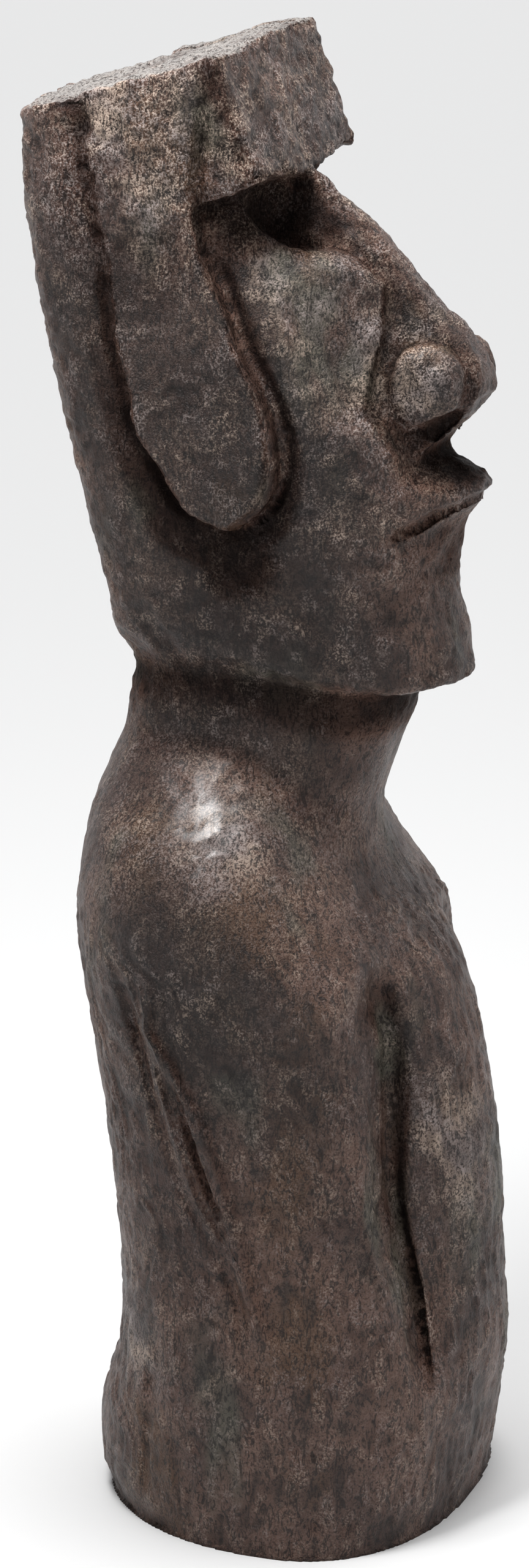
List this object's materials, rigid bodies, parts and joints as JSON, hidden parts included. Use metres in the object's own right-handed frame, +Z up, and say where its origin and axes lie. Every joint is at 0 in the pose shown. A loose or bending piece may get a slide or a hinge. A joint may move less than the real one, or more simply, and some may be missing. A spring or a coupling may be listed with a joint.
{
  "type": "moai figure statue",
  "caption": "Dark cast-stone garden or interior statue: a long stylised head leaning back on a bare torso with its arms at its sides, standing on its flat underside.",
  "frame": {"origin": "middle of the flat underside, on the surface the statue stands on", "axes": "+Z up, the face looks along -Y, the figure's own right side is -X"},
  "size_m": [0.1884, 0.1886, 0.5896],
  "materials": {
    "stone": "dark taupe-brown stone cast in resin, semi-matt, pitted and sandy, with pale worn edges and faint rust-brown and grey-green patches"
  },
  "bodies": {
    "root": {"moai_statue": "stone"}
  },
  "joints": []
}
